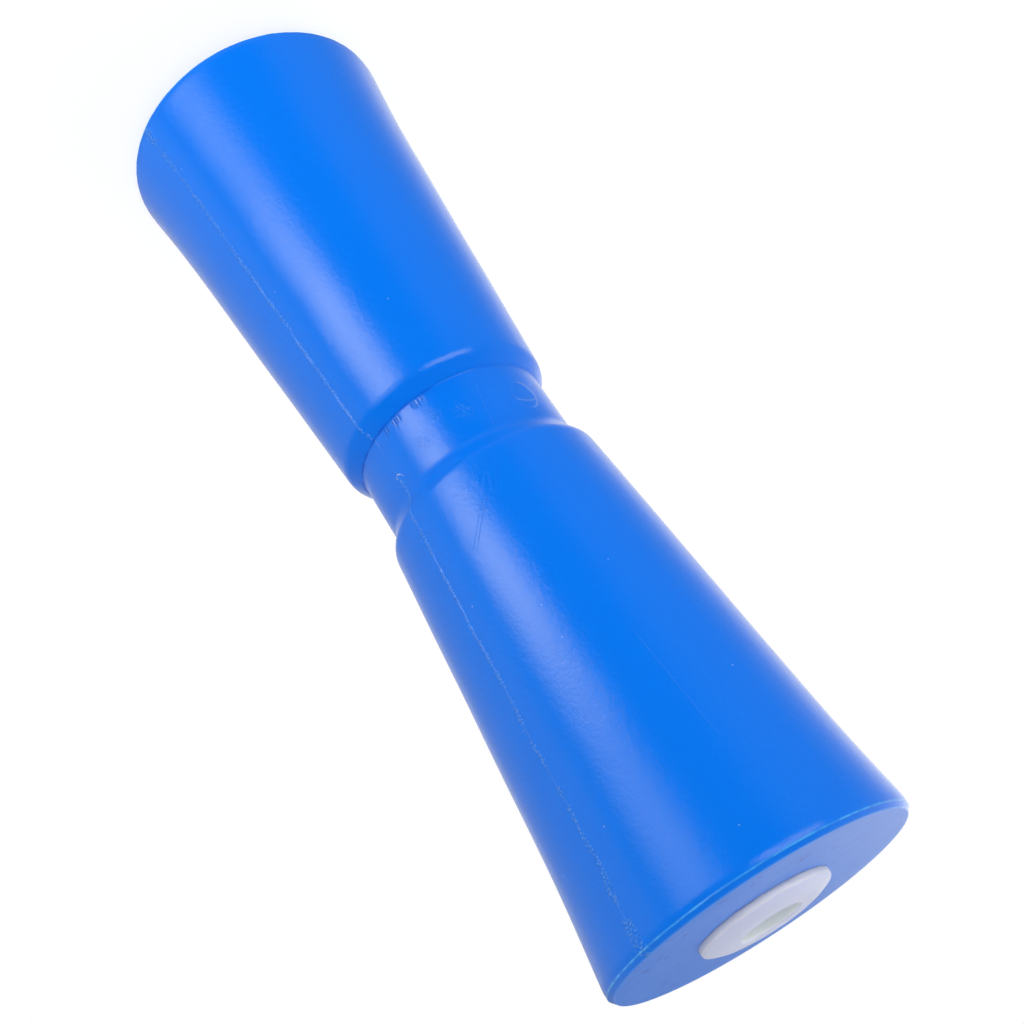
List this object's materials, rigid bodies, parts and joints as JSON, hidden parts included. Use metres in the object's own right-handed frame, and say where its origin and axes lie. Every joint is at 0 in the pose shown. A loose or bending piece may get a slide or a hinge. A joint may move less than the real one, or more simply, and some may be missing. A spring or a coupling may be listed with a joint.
{
  "type": "boat trailer keel roller",
  "caption": "Hourglass keel roller in blue polyurethane with a white flanged bush in each end, for a boat trailer spindle.",
  "frame": {"origin": "centre of the roller's waist, on the spindle's axis", "axes": "+Z along the spindle's axis, towards the end that the picture shows; the roller stands on the other end"},
  "size_m": [0.09, 0.09, 0.3126],
  "materials": {
    "blue_polyurethane": "bright blue soft polyurethane, satin gloss as moulded, with a faint parting line",
    "white_bush": "white nylon, smooth and slightly waxy"
  },
  "bodies": {
    "root": {"roller_body": "blue_polyurethane", "upper_bush": "white_bush", "lower_bush": "white_bush"}
  },
  "joints": []
}
